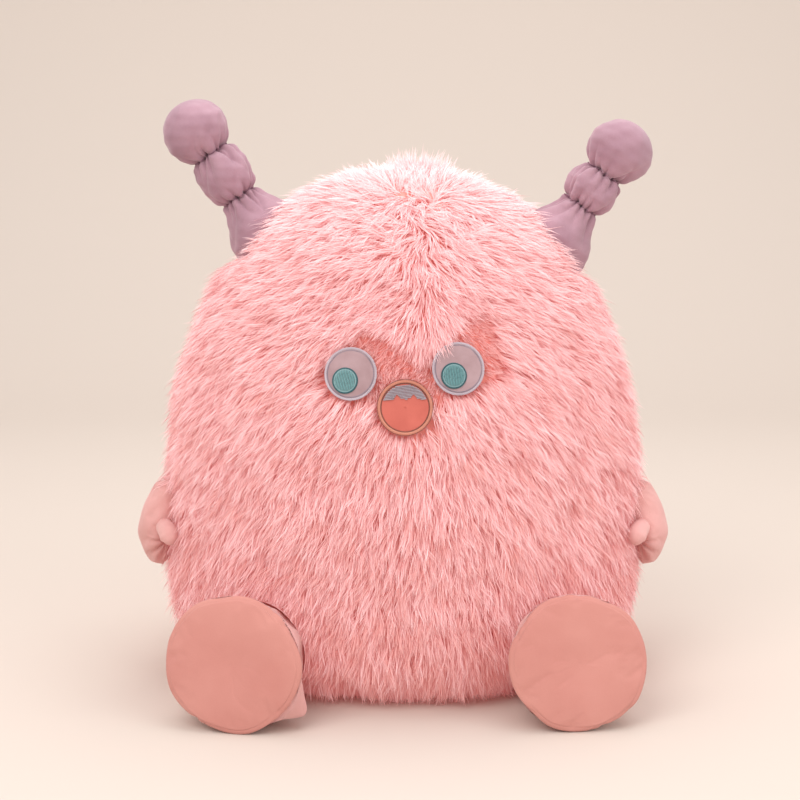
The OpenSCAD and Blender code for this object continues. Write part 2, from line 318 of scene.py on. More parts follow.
def pile_material(name, *colours):
    """Pile whose colour runs from root to tip along v, and along u from darker to lighter locks, by
    painted light and each lock's own tone.
    """
    root, middle, tip = (srgb(*c) for c in colours)
    material = plain_material(name, middle, 0.7)
    tree = material.node_tree
    uv = tree.nodes.new("ShaderNodeUVMap")
    uv.uv_map = "OFBake"
    split = add_node(tree, "SeparateXYZ", {"Vector": uv.outputs["UV"]})
    # Painted shade: the roots get a deeper coral than the tips, for the shade deep in the pile.
    along = [(0.0, root), (0.45, middle), (0.92, tip)]
    # Painted light: this ramp darkens locks whose u is low, those low on the body, and leaves those
    # high on the body bright.
    painted_light_and_tone = [(0.0, (0.82, 0.63, 0.59)), (0.5, (0.90, 0.87, 0.87)), (1.0, (1, 1, 1))]
    mix = tree.nodes.new("ShaderNodeMix")
    mix.data_type = "RGBA"
    mix.blend_type = "MULTIPLY"
    feed(tree, mix, {"Factor": 1, "A": ramp_colour(tree, split.outputs["Y"], along),
                     "B": ramp_colour(tree, split.outputs["X"], painted_light_and_tone)})
    feed(tree, tree.nodes["Principled BSDF"], {
        "Specular IOR Level": 0.08, "Emission Color": (1, 0.30, 0.29, 1),
        "Emission Strength": PILE_GLOW, "Base Color": mix.outputs["Result"],
    })
    return material


# ---- the body's surface

front_low, front_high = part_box("body_front_cover")
HALF_W = (front_high.x - front_low.x) / 2
HALF_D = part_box("body_back_cover")[1].y
BODY_TOP = front_high.z
WAIST_Z = 0.138
CROWN_H = BODY_TOP - WAIST_Z
CROWN_N = 2.2
BELLY_N = 4
FLOOR_ANGLE = -70
ROOT_DEPTH = 0.0125     # how far the backing cloth lies under the pile's mean surface
FACE_DIP = 0.008


def profile_table(inset):
    """Share of the full width, height, and distance run, from the floor panel to the crown."""
    angle = np.radians(np.linspace(FLOOR_ANGLE, 90, 6001))
    n = np.where(angle < 0, BELLY_N, CROWN_N)
    share = np.maximum(np.cos(angle), 0) ** (2 / n)
    high = np.where(angle < 0, -(WAIST_Z - inset * 0.3), CROWN_H - inset)
    z = WAIST_Z + high * np.abs(np.sin(angle)) ** (2 / n)
    run = np.hypot(np.diff(share) * (HALF_W - inset), np.diff(z))
    return share, z, np.concatenate([[0], np.cumsum(run)])


def dip_at(x, z):
    """How much the short pile round the face lowers the front."""
    return FACE_DIP * np.exp(-(((x / 0.092) ** 2 + ((z - 0.272) / 0.058) ** 2) ** 2))


def surface(run, azimuth, inset):
    """Points of the body and their outward normals at a distance up the profile and an azimuth."""
    share, z, along = profile_table(inset)
    s, h = np.interp(run, along, share), np.interp(run, along, z)
    step = 0.0015
    ds = np.interp(run + step, along, share) - np.interp(run - step, along, share)
    dz = np.interp(run + step, along, z) - np.interp(run - step, along, z)
    w, d = HALF_W - inset, HALF_D - inset
    ca, sa = np.cos(azimuth), np.sin(azimuth)
    point = np.stack([w * s * ca, d * s * sa, h], -1)
    normal = unit(np.stack([d * ca * dz, w * sa * dz, -w * d * ds], -1))
    return point, normal


def crown_share(z):
    """Share of the full width and depth that the body has at a height above its waist."""
    return (1 - ((z - WAIST_Z) / CROWN_H) ** CROWN_N) ** (1 / CROWN_N)


def front_y(x, z):
    """The front of the pile's mean surface at a place on the upper body."""
    share = crown_share(z)
    return -HALF_D * share * math.sqrt(1 - (x / (HALF_W * share)) ** 2) + float(dip_at(x, z))


# ---- limbs as the pile feels them


def joint_named(name):
    return next(j for j in frame["joints"] if j["name"] == name)


def joint_place(name):
    return np.array(joint_named(name)["pos_m"], float)


def centre(node):
    low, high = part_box(node)
    return np.array((low + high) / 2)


LEG_RISE = math.radians(10)
HIP_R = 0.040
SOLE_R = 0.056
LEG_L = 0.070


def leg_axis(side):
    """The way a leg points: square to the axis that it lifts about, and a little upward."""
    lift = np.array(joint_named(f"leg_{side}_lift")["axis"], float)
    forward = np.array([-lift[1], lift[0], 0])
    return math.cos(LEG_RISE) * forward + np.array([0, 0, math.sin(LEG_RISE)])


def antenna_axis(side):
    low = joint_place(f"antenna_{side}_lower_bend")
    high = joint_place(f"antenna_{side}_upper_bend")
    return unit(high - low), float(np.linalg.norm(high - low))


# The mitten's middle line, from the shoulder to the finger tip: place, half width, half depth
MITTEN = [
    ((0.202, -0.030, 0.172), 0.010, 0.011),
    ((0.2070, -0.029, 0.160), 0.0130, 0.014),
    ((0.2115, -0.028, 0.145), 0.0155, 0.018),
    ((0.2148, -0.027, 0.130), 0.0165, 0.021),
    ((0.2155, -0.026, 0.117), 0.0145, 0.020),
    ((0.2140, -0.026, 0.106), 0.0105, 0.016),
    ((0.2118, -0.026, 0.097), 0.0060, 0.010),
]
# The thumb: place, radius, half length
THUMB = ((0.2015, -0.0615, 0.1315), 0.0082, 0.0125)
BASE_DEPTH = 0.054      # an antenna's base reaches this far down from its lower gather


# A round limb that stands in the pile; its tail is the depth kept clear behind its start
Limb = namedtuple("Limb", "start axis length start_radius end_radius tail")


def limb_shapes():
    shapes = []
    for side, k in SIDES.items():
        mirror = np.array([k, 1, 1])
        hip = joint_place(f"leg_{side}_lift")
        way = leg_axis(side)
        shapes.append(Limb(hip - 0.012 * way, way, 0.088, 0.0410, 0.0565, 0.02))
        lower = joint_place(f"antenna_{side}_lower_bend")
        axis, _ = antenna_axis(side)
        shapes.append(Limb(lower - BASE_DEPTH * axis, axis, BASE_DEPTH, 0.0345, 0.018, 0.0))
        for (a, wa, _), (b, wb, _) in zip(MITTEN[:-1], MITTEN[1:]):
            a, b = np.array(a) * mirror, np.array(b) * mirror
            run = float(np.linalg.norm(b - a))
            shapes.append(Limb(a, (b - a) / run, run + 0.002, wa, wb, 0.004))
        thumb = np.array(THUMB[0]) * mirror + np.array([0, 0, THUMB[2] - 0.003])
        shapes.append(Limb(thumb, np.array([0, 0, -1.0]), 2 * THUMB[2] - 0.004, THUMB[1],
                           THUMB[1], 0.002))
    return shapes


LIMBS = limb_shapes()
EYE_PLACES = {"right": (-0.042, 0.283), "left": (0.044, 0.287)}
MOUTH_PLACE = (0.0015, 0.257)
EYES = {side: centre(f"eye_{side}_white") for side in SIDES}
MOUTH = np.array([MOUTH_PLACE[0], centre("mouth_patch")[1], MOUTH_PLACE[1]])
EYE_R = 0.0215
PUPIL_R = 0.0105
MOUTH_R = 0.0226
PATCH_LIFT = 0.002
FACE_PATCHES = [(EYES["right"], EYE_R), (EYES["left"], EYE_R), (MOUTH, MOUTH_R)]


def from_limb(points, limb):
    """How far points lie along a limb and out from its middle line, and its radius there."""
    rel = points - limb.start
    h = rel @ limb.axis
    radial = rel - h[..., None] * limb.axis
    share = np.clip(h / limb.length, 0, 1)
    radius = limb.start_radius + (limb.end_radius - limb.start_radius) * share
    return h, radial, np.linalg.norm(radial, axis=-1), radius


def push_out(points, clearance):
    """Moves points that lie in a limb straight out to its surface."""
    for limb in LIMBS:
        h, radial, dist, radius = from_limb(points, limb)
        radius = radius + clearance
        inside = (h > 0) & (h < limb.length) & (dist < radius)
        shift = np.where(inside, radius - dist, 0)
        points = points + unit(radial) * shift[..., None]
    return points


def in_limb(points, margin):
    found = np.zeros(points.shape[:-1], bool)
    for limb in LIMBS:
        h, _, dist, radius = from_limb(points, limb)
        found |= (h > -limb.tail) & (h < limb.length) & (dist < radius + margin)
    return found


# ---- pile

WHORL = np.array([0.013, -0.075, 0.415])    # high on the forehead, where the pile parts
FRINGE = np.array([0.019, -0.13, 0.344])    # the fringe over the face fans out from here
LOCKS = 80000           # locks of pile over the body
FIBRES = 4              # fibres in each lock
FIBRE_POINTS = 5
FIBRE_WIDTH = 0.00068
PILE_GAP = 0.0006       # what a fibre keeps clear of limbs and floor
TUFT_X = 0.014          # where a tuft stands up out of the crown
PILE_PIECES = 8         # pieces of pile on each half of the body


def smooth_step(low, high, v):
    t = np.clip((v - low) / (high - low), 0, 1)
    return t * t * (3 - 2 * t)


def bump(distance, width, power=2):
    """1 in the middle, fading to 0 over a width."""
    return np.exp(-(np.abs(distance) / width) ** power)


def wobble(p, scale, seed):
    """A smooth field from about -1 to 1, a sum of waves in fixed directions."""
    rng = np.random.default_rng(seed)
    total = 0
    for _ in range(5):
        direction = unit(rng.normal(size=3)) * rng.uniform(0.7, 1.6) * 2 * math.pi / scale
        total = total + np.sin(p @ direction + rng.uniform(0, 2 * math.pi))
    return total / 2.6


def drift(p, scale, seeds):
    return np.stack([wobble(p, scale, seed) for seed in seeds], -1)


def comb_direction(p, normal):
    """The way the pile lies: down and outward below the whorl, and away from it over the crown."""
    height = p[:, 2]
    side = np.tanh((p[:, 0] - WHORL[0]) / 0.045 + 0.35 * wobble(p, 0.10, 3))
    outward = 0.22 + 0.85 * smooth_step(0.05, 0.40, height)
    down = 1.0 - 0.62 * smooth_step(0.16, 0.40, height)
    facing = 2 * smooth_step(-0.01, 0.03, p[:, 1]) - 1
    flow = np.stack([side * outward, 0.08 * facing, -down], -1)
    flow += 0.13 * drift(p, 0.08, (5, 6, 7))
    from_whorl = p - WHORL
    distance = np.linalg.norm(from_whorl, axis=1, keepdims=True)
    over = smooth_step(WHORL[2] - 0.024, WHORL[2] + 0.022, height)[:, None]
    flow = flow * (1 - over) + 1.1 * over * from_whorl / np.maximum(distance, 0.050)
    loose = 0.28 + 0.30 * bump(distance, 0.045)
    flow += loose * drift(p, 0.024, (8, 9, 10))
    from_fan = p - FRINGE
    from_fan[:, 1] = 0
    reach = np.linalg.norm(from_fan, axis=1)
    fan = bump(reach, 0.050, 3) * smooth_step(0.012, -0.010, from_fan[:, 2])
    fan = np.where(p[:, 1] < 0, fan, 0)[:, None]
    flow = flow * (1 - fan) + 1.3 * fan * unit(from_fan + np.array([0, 0, -0.010]))
    for place, radius in FACE_PATCHES:
        away = p - place
        near = bump(np.linalg.norm(away, axis=1), radius + 0.012, 4)
        below = smooth_step(0.014, -0.006, away[:, 2])
        flow += (1.8 * near * below)[:, None] * unit(away)
    flow -= np.sum(flow * normal, -1, keepdims=True) * normal
    return unit(flow)


def crop_line(x):
    """The height up to which the pile over the face is cropped short."""
    return np.interp(
        x,
        [-0.070, -0.058, -0.043, -0.028, -0.010, 0.000, 0.012, 0.026, 0.035, 0.043, 0.066, 0.077],
        [0.268, 0.295, 0.309, 0.319, 0.320, 0.309, 0.300, 0.301, 0.314, 0.331, 0.328, 0.286],
    )


def short_pile(p):
    """1 where the pile is cropped between and above the eyes, fading to 0 elsewhere."""
    x, z = p[:, 0], p[:, 2]
    low = np.interp(np.abs(x - 0.001), [0, 0.024, 0.040, 0.070], [0.262, 0.262, 0.270, 0.280])
    level = smooth_step(0.003, -0.003, z - crop_line(x)) * smooth_step(-0.003, 0.004, z - low)
    return np.where((p[:, 1] < 0) & (np.abs(x) < 0.078), level, 0)


def on_patch(p, margin):
    found = np.zeros(len(p), bool)
    for place, radius in FACE_PATCHES:
        near = np.hypot(p[:, 0] - place[0], p[:, 2] - place[2]) < radius + margin
        found |= near & (p[:, 1] < 0)
    return found


def over_face(tips):
    """Tips that would hang far over a patch; the fringe may cover one corner of the left eye."""
    found = np.zeros(len(tips), bool)
    for place, radius in FACE_PATCHES:
        x, z = tips[:, 0] - place[0], tips[:, 2] - place[2]
        fringed = (place is EYES["left"]) & (z > 0.0035) & (x < -0.003) & (np.hypot(x, z) > 0.009)
        found |= (np.hypot(x, z) < radius - 0.0025) & (tips[:, 1] < 0) & ~fringed
    return found


def scatter(count, seed, inset):
    """Even random places over the body: profile distance and azimuth, by area."""
    rng = np.random.default_rng(seed)
    share, _, along = profile_table(inset)
    weight = np.concatenate([[0], np.cumsum(share[1:] * np.diff(along))])
    run = np.interp(rng.uniform(0, weight[-1], count * 2), weight, along)
    azimuth = rng.uniform(0, 2 * math.pi, count * 2)
    w, d = HALF_W - inset, HALF_D - inset
    keep = rng.uniform(0, w, count * 2) < np.hypot(w * np.sin(azimuth), d * np.cos(azimuth))
    return run[keep][:count], azimuth[keep][:count]


def lock_set(count, seed):
    """Each lock of pile: where it grows, the way it lies, how long it is, and its tone with painted
    light on it.
    """
    rng = np.random.default_rng(seed)
    run, azimuth = scatter(count, seed, ROOT_DEPTH)
    root, normal = surface(run, azimuth, ROOT_DEPTH)
    over = root[:, 2] - crop_line(root[:, 0])
    fringe = (root[:, 1] < 0) & (np.abs(root[:, 0]) < 0.060) & (over > 0) & (over < 0.013)
    root = np.concatenate([root, root[fringe] + rng.normal(0, 0.0009, (fringe.sum(), 3))])
    normal = np.concatenate([normal, normal[fringe]])
    fringe = np.append(fringe, fringe[fringe])
    keep = ~in_limb(root, 0.0005) & ~on_patch(root, -0.002)
    root, normal, fringe = root[keep], normal[keep], fringe[keep]
    n = len(root)
    short = short_pile(root)
    height = root[:, 2]
    crown = smooth_step(0.36, 0.42, height)
    tuft = np.hypot(root[:, 0] - TUFT_X, root[:, 1]) < 0.024
    tuft &= (height > 0.42) & (rng.uniform(0, 1, n) < 0.35)
    length = rng.uniform(0.019, 0.029, n) * (1 + 0.12 * wobble(root, 0.06, 11))
    length = np.where(fringe, rng.uniform(0.014, 0.021, n), length)
    length = length * (1 - short) + short * rng.uniform(0.008, 0.011, n)
    lift = rng.uniform(0.36, 0.70, n) - 0.12 * crown
    lift = lift * (1 - short) + 0.60 * short
    lift[tuft] = rng.uniform(0.80, 0.95, np.count_nonzero(tuft))
    comb = comb_direction(root, normal)
    side = np.cross(normal, comb)
    turn = rng.normal(0, 0.28, n)[:, None]
    comb = unit(comb + side * turn)
    # Painted light: locks are paler high on the body and darker low down, as the light falls from
    # above. On top of that come a random tone for each lock and a deeper tone where the pile is
    # cropped short.
    painted_light_and_tone = np.interp(height, [0.03, 0.16, 0.30, 0.38, 0.43], [0.14, 0.42, 0.56, 0.70, 1.05])
    painted_light_and_tone += 0.15 * wobble(root, 0.040, 12) + rng.normal(0, 0.20, n)
    painted_light_and_tone = np.clip(painted_light_and_tone - 0.50 * short, 0.02, 0.98)
    # Painted light on the crown: pale moves its fibres part way up the root-to-tip ramp, so their
    # roots are painted lighter.
    return {"root": root, "normal": normal, "comb": comb, "length": length,
            "lift": np.minimum(lift, 0.95), "painted_light_and_tone": painted_light_and_tone, "short": short,
            "pale": 0.45 * crown}


def fibre_paths(locks, seed):
    """Every fibre of every lock as a short path; the fibres of a lock draw together at its tip."""
    rng = np.random.default_rng(seed)
    n = len(locks["root"])
    each = {k: np.repeat(v, FIBRES, axis=0) for k, v in locks.items()}
    total = n * FIBRES
    normal, comb = each["normal"], each["comb"]
    side = np.cross(normal, comb)
    spread = 0.0018 * np.sqrt(rng.uniform(0, 1, total))
    angle = rng.uniform(0, 2 * math.pi, total)
    offset = spread[:, None] * (np.cos(angle)[:, None] * comb + np.sin(angle)[:, None] * side)
    root = each["root"] + offset - 0.0015 * normal
    length = (each["length"] * rng.uniform(0.72, 1.06, total))[:, None]
    lift = np.minimum(each["lift"] * rng.uniform(0.85, 1.2, total), 0.97)[:, None]
    reach = np.sqrt(1 - lift ** 2)
    tip = each["root"] + offset * 0.30 + length * (reach * comb + lift * normal)
    tip[:, 2] -= 0.12 * length[:, 0]
    tip_place = tip - FRINGE
    bushy = np.exp(-(np.abs(tip_place[:, 0]) / 0.055) ** 4 - ((tip_place[:, 2] + 0.03) / 0.03) ** 4)
    tip += rng.normal(0, 0.0012, (total, 3)) * (1 + bushy * (tip[:, 1] < 0))[:, None]
    first = root + length * (0.30 * normal + 0.08 * comb)
    second = root + (tip - root) * 0.66 + length * 0.12 * normal
    second += rng.normal(0, 0.0006, (total, 3))
    t = np.linspace(0, 1, FIBRE_POINTS)[None, :, None]
    path = ((1 - t) ** 3 * root[:, None] + 3 * (1 - t) ** 2 * t * first[:, None]
            + 3 * (1 - t) * t ** 2 * second[:, None] + t ** 3 * tip[:, None])
    path = push_out(path, PILE_GAP)
    path[..., 2] = np.maximum(path[..., 2], PILE_GAP)
    keep = ~over_face(path[:, -1])
    return path[keep], {key: value[keep] for key, value in each.items()}


def fibre_mesh(name, path, normal, painted_light_and_tone, pale, width, seed):
    """Tapered flat fibres along paths, as one mesh whose OFBake map holds painted light and tone
    along u and root-to-tip along v.
    """
    rng = np.random.default_rng(seed)
    n, k = path.shape[:2]
    along = unit(np.gradient(path, axis=1))
    roll = rng.uniform(-0.9, 0.9, n)[:, None, None]
    side = unit(np.cross(along, normal[:, None]))
    facing = np.cross(side, along)
    side = np.cos(roll) * side + np.sin(roll) * facing
    t = np.linspace(0, 1, k)
    half = (0.5 * (1 - t) ** 0.4)[None, :, None] * width[:, None, None]
    left, right = path - side * half, path + side * half
    verts = np.stack([left[:, :-1], right[:, :-1]], 2).reshape(n, -1, 3)
    verts = np.concatenate([verts, path[:, -1:]], 1)
    per = 2 * (k - 1) + 1
    quads = np.array([[2 * i, 2 * i + 1, 2 * i + 3, 2 * i + 2] for i in range(k - 2)])
    tip = np.array([2 * (k - 2), 2 * (k - 2) + 1, per - 1])
    base = (np.arange(n) * per)[:, None]
    loops = np.concatenate([(base + quads.ravel()), base + tip], 1)
    sizes = np.tile([4] * (k - 2) + [3], n)
    mesh = bpy.data.meshes.new(name)
    mesh.vertices.add(n * per)
    mesh.vertices.foreach_set("co", verts.astype(np.float32).ravel())
    mesh.loops.add(loops.size)
    mesh.loops.foreach_set("vertex_index", loops.astype(np.int32).ravel())
    mesh.polygons.add(len(sizes))
    starts = np.concatenate([[0], np.cumsum(sizes)[:-1]])
    mesh.polygons.foreach_set("loop_start", starts.astype(np.int32))
    mesh.polygons.foreach_set("use_smooth", [True] * len(sizes))
    u = np.repeat(painted_light_and_tone, per)
    v = np.tile(np.append(np.repeat(t[:-1], 2), 1.0), n)
    # Painted light: on the crown each fibre starts part way along the root-to-tip ramp, so its root
    # is painted lighter.
    low = np.repeat(pale, per)
    v = (low + (1 - low) * v) * 0.98 + 0.01
    uv = mesh.uv_layers.new(name="OFBake")
    flat = loops.ravel()
    uv.data.foreach_set("uv", np.stack([u[flat], v[flat]], -1).astype(np.float32).ravel())
    mesh.update(calc_edges=True)
    return add_object(name, mesh)


def make_pile(material):
    """The long pile, in pieces: bands from low to high on the front and on the back."""
    count = LOCKS
    locks = lock_set(count, 21)
    path, each = fibre_paths(locks, 22)
    rng = np.random.default_rng(23)
    width = (FIBRE_WIDTH - 0.0002 * each["short"]) * rng.uniform(0.7, 1.3, len(path))
    root = each["root"]
    order = np.argsort(root[:, 2], kind="stable")
    for half, on_half in (("front", root[order, 1] < 0), ("back", root[order, 1] >= 0)):
        for b, pick in enumerate(np.array_split(order[on_half], PILE_PIECES)):
            pick = np.sort(pick)
            piece = fibre_mesh(f"body_{half}_pile_{b + 1}", path[pick], each["normal"][pick],
                               each["painted_light_and_tone"][pick], each["pale"][pick], width[pick], 30 + b)
            dress(piece, material, "body")


def make_backing(material):
    """The two halves of the body's cloth, from which the pile grows, open where limbs go in."""
    rows, columns = 70, 80
    share, _, along = profile_table(ROOT_DEPTH)
    for half, start in (("front", math.pi), ("back", 0)):
        run = np.repeat(np.linspace(0, along[-1], rows), columns + 1)
        azimuth = np.tile(start + math.pi * np.arange(columns + 1) / columns, rows)
        points, normal = surface(run, azimuth, ROOT_DEPTH)
        points = points + normal * (0.0008 * wobble(points, 0.03, 41))[:, None]
        hidden = in_limb(points, -0.004)
        faces = [f for f in grid_faces(rows, columns + 1, closed=False)
                 if not all(hidden[i] for i in f)]
        skin = new_object(f"body_{half}_cover_cloth", points, faces)
        dress(skin, material, "body", [f"body_{half}_cover"])
        if half == "front":
            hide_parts("body_stuffing")


# ---- antennae


def frame_from(axis):
    """A rotation whose third column is the axis and whose first lies toward the front."""
    axis = np.array(axis, float)
    front = np.array([0, -1.0, 0])
    e1 = unit(front - axis * (front @ axis))
    return np.stack([e1, np.cross(axis, e1), axis], 1)


def antenna_radius(h, gap, reach):
    """The outline of an antenna at a height over its lower gather, before it is pleated."""
    base = 0.0190 + 0.0140 * smooth_step(-0.004, -reach, h) ** 0.8
    middle = 0.0190 + 0.0062 * np.sin(np.pi * np.clip(h / gap, 0, 1)) ** 0.75
    rise = np.clip((h - gap) / 0.021, 0, 1)
    tip = 0.0188 + 0.0102 * np.sin(np.pi / 2 * rise) ** 0.8
    dome = np.sqrt(np.maximum(1 - np.clip((h - gap - 0.021) / 0.0285, 0, 1) ** 2, 0))
    return np.where(h < 0, base, np.where(h < gap, middle, tip * dome))


def pleats(h, angle, gather, seed):
    """Folds that run into one gather: narrow valleys of their own depth, length and slant."""
    rng = np.random.default_rng(seed)
    count = 13
    start = full_turn(count) + rng.uniform(-0.16, 0.16, count)
    away = h - gather
    inward = np.zeros_like(h)
    for k in range(count):
        below, above = rng.uniform(0.008, 0.020), rng.uniform(0.006, 0.013)
        depth = rng.uniform(0.0050, 0.0085)
        slant, bend = rng.uniform(-14, 14), rng.uniform(-700, 700)
        offset = rng.uniform(-0.0016, 0.0016)
        length = np.where(away < offset, below, above)
        fade = bump(away - offset, length, 1.15)
        middle = start[k] + slant * away + bend * away * np.abs(away)
        turn = np.angle(np.exp(1j * (angle - middle)))
        width = 0.095 + 5.5 * np.abs(away)
        inward += depth * fade * bump(turn, width, 1.2)
    pinch = gather + 0.0012 * np.sin(5 * angle + rng.uniform(0, 6)) + 0.0008 * np.sin(11 * angle)
    inward += 0.0042 * bump(h - pinch, 0.0016, 1.4)
    return np.minimum(inward, 0.0095)


GATHER_DROP = 0.001     # a gather's thread lies this far below the point it bends about
TIE_TURNS = 3           # turns of thread round a gather


def antenna_grid(side):
    """Points of a whole antenna, row by row from deep in the pile to the top of its tip."""
    k = SIDES[side]
    low = joint_place(f"antenna_{side}_lower_bend")
    axis, gap = antenna_axis(side)
    turn = frame_from(axis)
    reach, top = 0.040, gap + 0.0494
    h = np.concatenate([np.linspace(-BASE_DEPTH, gap + 0.036, 200),
                        top - 0.0134 * (1 - np.sin(np.linspace(0, np.pi / 2, 26)[1:]))])
    hh, aa = np.meshgrid(h, full_turn(160), indexing="ij")
    seed = 50 if side == "right" else 60
    radius = antenna_radius(hh, gap, reach)
    inward = pleats(hh, aa, -GATHER_DROP, seed) + pleats(hh, aa, gap - GATHER_DROP, seed + 1)
    circle = np.stack([np.cos(aa) * 0.02, np.sin(aa) * 0.02, hh], -1)
    soft = 0.0007 * wobble(circle, 0.030, seed + 2) + 0.0004 * wobble(circle, 0.012, seed + 3)
    radius = np.maximum(radius - inward + soft * np.clip(radius / 0.02, 0, 1), 0.0)
    radius[-1] = 0.0001
    local = np.stack([radius * np.cos(aa), radius * np.sin(aa) * k, hh], -1)
    return low + local @ turn.T, h


def grid_normals(points):
    """Outward normals of a closed grid of points."""
    around = np.roll(points, -1, 1) - np.roll(points, 1, 1)
    up = np.gradient(points, axis=0)
    normal = unit(np.cross(around, up))
    outward = points - points.mean(1, keepdims=True)
    sign = np.sign(np.sum(normal * outward, -1, keepdims=True))
    return normal * np.where(np.median(sign) < 0, -1, 1)


def make_antennae(velvet, thread):
    for side in SIDES:
        name = f"antenna_{side}"
        points, h = antenna_grid(side)
        normals = grid_normals(points)
        axis, gap = antenna_axis(side)
        hinges = {part: joint_place(f"{name}_{part}_bend") for part in ("lower", "upper")}
        split = int(np.argmin(np.abs(h - gap / 2)))
        for part, rows, near, far, nodes in (
            ("lower", slice(0, split + 1), "body", f"{name}_middle",
             ("base_cover", "base_stuffing", "middle_stuffing")),
            ("upper", slice(split, len(h)), f"{name}_middle", f"{name}_tip",
             ("middle_cover", "tip_cover", "tip_stuffing")),
        ):
            skin = grid_object(f"{name}_{part}_velvet", points[rows], outward=True)
            skin.data.normals_split_custom_set_from_vertices(
                [tuple(v) for v in normals[rows].reshape(-1, 3)])
            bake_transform(skin)
            dress(skin, velvet, None, [f"{name}_{node}" for node in nodes])
        for part, body in (("lower", "body"), ("upper", f"{name}_middle")):
            height = np.linalg.norm(hinges[part] - hinges["lower"]) - GATHER_DROP
            ring = points[int(np.argmin(np.abs(h - height)))]
            ring = np.tile(ring - 0.0002 * unit(ring - ring.mean(0)), (TIE_TURNS, 1))
            spin = np.linspace(0, TIE_TURNS, len(ring), endpoint=False)
            line = ring + axis * ((spin - TIE_TURNS / 2) * 0.0005)[:, None]
            coil = tube(f"{name}_{part}_tie_thread", line, 0.0004, 6)
            dress(coil, thread, body, [f"{name}_{part}_tie"])


def rings_about(line, guide, sides):
    """Round each point of a line, a circle of unit vectors square to the line."""
    along = unit(np.gradient(line, axis=0))
    e1 = unit(np.cross(along, guide))
    e2 = np.cross(along, e1)
    a = full_turn(sides)
    return np.cos(a)[None, :, None] * e1[:, None] + np.sin(a)[None, :, None] * e2[:, None]


def tube(name, line, radius, sides):
    """A round tube along a line of points, closed at both ends."""
    ring = rings_about(line, np.array([0.31, 0.52, 0.79]), sides)
    verts = (line[:, None] + radius * ring).reshape(-1, 3)
    faces = grid_faces(len(line), sides)
    faces += [tuple(range(sides)), tuple(len(verts) - 1 - i for i in range(sides))]
    return new_object(name, verts, faces, outward=True)


# ---- legs


def make_legs(cloth, sole_cloth):
    """Each leg is a stuffed tube that a flat round sole closes, its edge rounded by the filling."""
    columns = 144
    angle = full_turn(columns)
    for side, k in SIDES.items():
        rng = np.random.default_rng(70 if side == "right" else 80)
        hip = joint_place(f"leg_{side}_lift")
        turn = frame_from(leg_axis(side))
        profile = [(HIP_R * math.sin(a), -HIP_R * math.cos(a))
                   for a in np.linspace(0.02, math.pi / 2, 14)]
        profile += [(HIP_R + (SOLE_R - 0.0015 - HIP_R) * (t ** 0.8), (LEG_L - 0.004) * t)
                    for t in np.linspace(0, 1, 34)[1:]]
        seam_row = len(profile)
        edge = 0.0048
        profile += [(SOLE_R - edge + edge * math.cos(a), LEG_L - edge + edge * math.sin(a))
                    for a in np.linspace(0, math.pi / 2, 8)]
        profile += [((SOLE_R - edge) * math.cos(a), LEG_L + 0.0028 * math.sin(a) ** 0.8)
                    for a in np.linspace(0.03, math.pi / 2 - 0.004, 34)]
        radius, height = np.array(profile).T[..., None]
        rows = len(profile)
        outline = sum(size * np.sin(waves * angle + rng.uniform(0, 6))
                      for size, waves in ((0.0009, 2), (0.0007, 5), (0.0003, 9)))
        pucker = np.zeros(columns)
        for at, deep, wide in zip(rng.uniform(0, 6.28, 7), rng.uniform(0.0003, 0.0010, 7),
                                  rng.uniform(0.05, 0.11, 7)):
            pucker -= deep * bump(np.angle(np.exp(1j * (angle - at))), wide)
        fold = bump(np.arange(rows) - seam_row - 2, 6.0)[:, None]
        grow = radius / SOLE_R
        radius = radius + grow * outline + fold * pucker
        seam = bump(np.arange(rows) - seam_row - 1, 1.1)[:, None]
        radius = radius - 0.0005 * seam
        height = np.broadcast_to(height, radius.shape) + fold * 0.5 * pucker
        local = np.stack([radius * np.cos(angle), k * radius * np.sin(angle), height], -1)
        local[..., 2] -= leg_creases(local, rng)
        whole = grid_object(f"leg_{side}_swell", hip + local @ turn.T, outward=True)
        pinned = [r * columns + c for r in (*range(0, 12), seam_row, seam_row + 1)
                  for c in range(columns)]
        inflate(whole, 1.6, 0.0022, pinned, grow=0.02)
        swollen = read_all(whole.data.vertices, "co", 3).reshape(rows, columns, 3)
        if side == "right":
            swollen = swollen + slack_corner(swollen, hip, turn, k, seam_row)
        bpy.data.objects.remove(whole)
        cut = seam_row + 1
        for name, part, material, nodes, word in (
            ("cover", slice(0, cut + 1), cloth, ["cover", "stuffing"], "limb_cloth"),
            ("sole", slice(cut, rows), sole_cloth, ["sole"], "sole_cloth"),
        ):
            piece = grid_object(f"leg_{side}_{name}_cloth", swollen[part])
            if k < 0:
                piece.data.flip_normals()
            dress(piece, material, f"leg_{side}", [f"leg_{side}_{n}" for n in nodes])


def slack_corner(points, hip, turn, k, seam_row):
    """Slack cloth of the tube that lies out to one side on the floor behind the sole."""
    outward = unit(np.array([-k * 0.80, 0, -0.60]))
    local = (points - hip) @ turn
    flat = outward @ turn
    radial = unit(local[..., :2])
    facing = np.clip(radial @ unit(flat[:2]), -1, 1)
    row = np.arange(len(points))[:, None]
    along = bump(row - seam_row + 9, 7.0) * (row < seam_row)
    shift = 0.017 * along * bump(np.arccos(facing), 0.24)
    moved = shift[..., None] * outward
    low = points[..., 2] + moved[..., 2]
    moved[..., 2] += np.maximum(0.0008 - low, 0) * (shift > 1e-4)
    return moved


def leg_creases(local, rng):
    """Slack dents across the flat sole, deepest low down where the foot rests."""
    x, y = local[..., 0], local[..., 1]
    flat = smooth_step(LEG_L - 0.004, LEG_L, local[..., 2])
    total = np.zeros(x.shape)
    for _ in range(5):
        a = rng.uniform(0, math.pi)
        across = x * math.cos(a) + y * math.sin(a) - rng.uniform(-0.035, 0.035)
        along = -x * math.sin(a) + y * math.cos(a) - rng.uniform(-0.02, 0.02)
        total += rng.uniform(0.0001, 0.0004) * np.exp(-(across / 0.010) ** 2 - (along / 0.022) ** 2)
    return total * flat


# ---- arms


